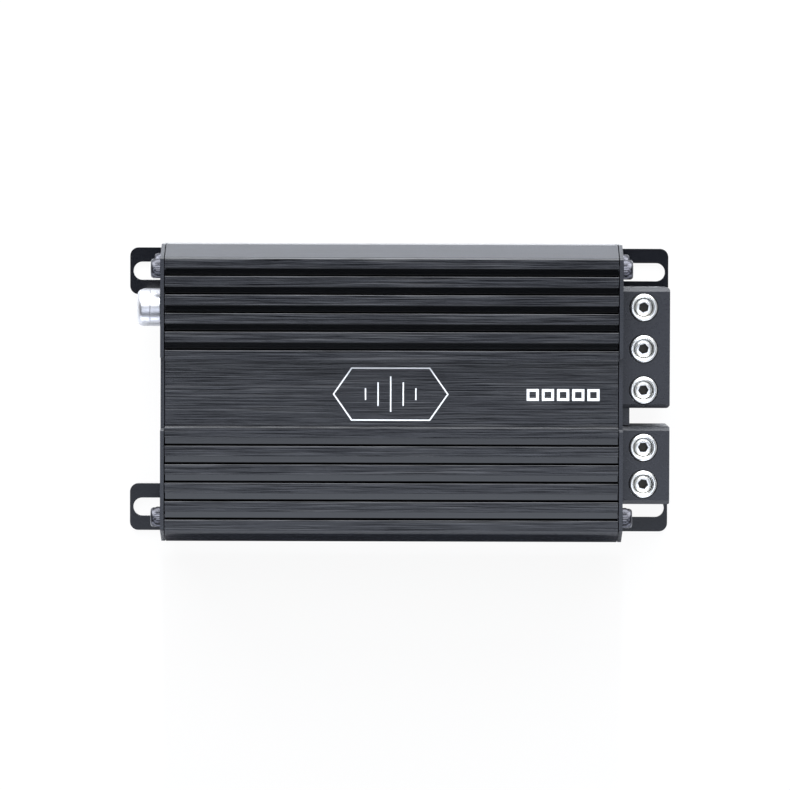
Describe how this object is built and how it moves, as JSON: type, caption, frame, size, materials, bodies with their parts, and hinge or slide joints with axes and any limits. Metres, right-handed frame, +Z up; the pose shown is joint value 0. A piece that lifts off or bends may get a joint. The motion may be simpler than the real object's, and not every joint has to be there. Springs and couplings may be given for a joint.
{
  "type": "car amplifier",
  "caption": "Compact black car audio amplifier with a finned case, slotted mounting ears, screw terminals at one end and phono inputs at the other.",
  "frame": {"origin": "under the middle of the whole object, on the mounting surface", "axes": "+Z up from the mounting surface, +X along the case towards the screw terminals, +Y towards the rear long side"},
  "size_m": [0.1484, 0.0808, 0.038],
  "materials": {
    "black_anodised": "brushed, black anodised",
    "black_steel": "black, satin",
    "dark_chrome": "dark chrome plated",
    "grey_plastic": "fine moulded texture",
    "nickel": "bright nickel plated",
    "white_plastic": "smooth",
    "red_plastic": "smooth",
    "black_plastic": "smooth",
    "clear_lens": "clear, lightly tinted",
    "green_board": "solder resist",
    "zinc_steel": "zinc plated",
    "winding": "enamelled copper wire on a ring core",
    "capacitor_sleeve": "shrunk sleeve",
    "grey_pad": "matt"
  },
  "bodies": {
    "amplifier": {"heatsink_case": "black_anodised", "end_plate_input": "black_anodised", "end_plate_power": "black_anodised", "base_plate": "black_steel", "base_screw_1": "black_steel", "base_screw_2": "black_steel", "base_screw_3": "black_steel", "base_screw_4": "black_steel", "end_screw_input_upper_rear": "dark_chrome", "end_screw_input_upper_front": "dark_chrome", "end_screw_input_lower_rear": "dark_chrome", "end_screw_input_lower_front": "dark_chrome", "end_screw_power_upper_rear": "dark_chrome", "end_screw_power_upper_front": "dark_chrome", "end_screw_power_lower_rear": "dark_chrome", "end_screw_power_lower_front": "dark_chrome", "power_terminal_cover": "grey_plastic", "speaker_terminal_cover": "grey_plastic", "power_terminal_remote": "nickel", "power_terminal_supply": "nickel", "power_terminal_ground": "nickel", "speaker_terminal_positive": "nickel", "speaker_terminal_negative": "nickel", "jack_shell_upper": "nickel", "jack_shell_lower": "nickel", "jack_contact_upper": "nickel", "jack_contact_lower": "nickel", "jack_insulator_upper": "white_plastic", "jack_insulator_lower": "red_plastic", "jack_housing": "black_plastic", "remote_level_socket": "black_plastic", "gain_control_body": "black_plastic", "filter_control_body": "black_plastic", "bass_control_body": "black_plastic", "transistor_rear_1": "black_plastic", "transistor_rear_2": "black_plastic", "transistor_front_1": "black_plastic", "transistor_front_2": "black_plastic", "status_light": "clear_lens", "circuit_board": "green_board", "board_screw_1": "zinc_steel", "board_screw_2": "zinc_steel", "board_screw_3": "zinc_steel", "board_screw_4": "zinc_steel", "clamp_bar_rear": "zinc_steel", "clamp_bar_front": "zinc_steel", "power_transformer": "winding", "output_inductor": "winding", "supply_capacitor_1": "capacitor_sleeve", "supply_capacitor_2": "capacitor_sleeve", "thermal_pad_rear": "grey_pad", "thermal_pad_front": "grey_pad"},
    "power_screw_remote": {"power_set_screw_remote": "nickel"},
    "power_screw_supply": {"power_set_screw_supply": "nickel"},
    "power_screw_ground": {"power_set_screw_ground": "nickel"},
    "speaker_screw_positive": {"speaker_set_screw_positive": "nickel"},
    "speaker_screw_negative": {"speaker_set_screw_negative": "nickel"},
    "gain_control": {"gain_control_shaft": "white_plastic"},
    "filter_control": {"filter_control_shaft": "white_plastic"},
    "bass_control": {"bass_control_shaft": "white_plastic"}
  },
  "joints": [
    {"name": "power_screw_remote_turn", "type": "hinge", "parent": "amplifier", "child": "power_screw_remote", "pos_m": [0.0665, 0.0234, 0.021], "axis": [0, 0, 1], "range_deg": [-2160, 0]},
    {"name": "power_screw_supply_turn", "type": "hinge", "parent": "amplifier", "child": "power_screw_supply", "pos_m": [0.0665, 0.01215, 0.021], "axis": [0, 0, 1], "range_deg": [-2160, 0]},
    {"name": "power_screw_ground_turn", "type": "hinge", "parent": "amplifier", "child": "power_screw_ground", "pos_m": [0.0665, 0.0009, 0.021], "axis": [0, 0, 1], "range_deg": [-2160, 0]},
    {"name": "speaker_screw_positive_turn", "type": "hinge", "parent": "amplifier", "child": "speaker_screw_positive", "pos_m": [0.0665, -0.0147, 0.021], "axis": [0, 0, 1], "range_deg": [-2160, 0]},
    {"name": "speaker_screw_negative_turn", "type": "hinge", "parent": "amplifier", "child": "speaker_screw_negative", "pos_m": [0.0665, -0.0247, 0.021], "axis": [0, 0, 1], "range_deg": [-2160, 0]},
    {"name": "gain_control_turn", "type": "hinge", "parent": "amplifier", "child": "gain_control", "pos_m": [-0.062, 0.0045, 0.0126], "axis": [-1, 0, 0], "range_deg": [-140, 140]},
    {"name": "filter_control_turn", "type": "hinge", "parent": "amplifier", "child": "filter_control", "pos_m": [-0.062, -0.005, 0.0126], "axis": [-1, 0, 0], "range_deg": [-140, 140]},
    {"name": "bass_control_turn", "type": "hinge", "parent": "amplifier", "child": "bass_control", "pos_m": [-0.062, -0.0145, 0.0126], "axis": [-1, 0, 0], "range_deg": [-140, 140]}
  ]
}
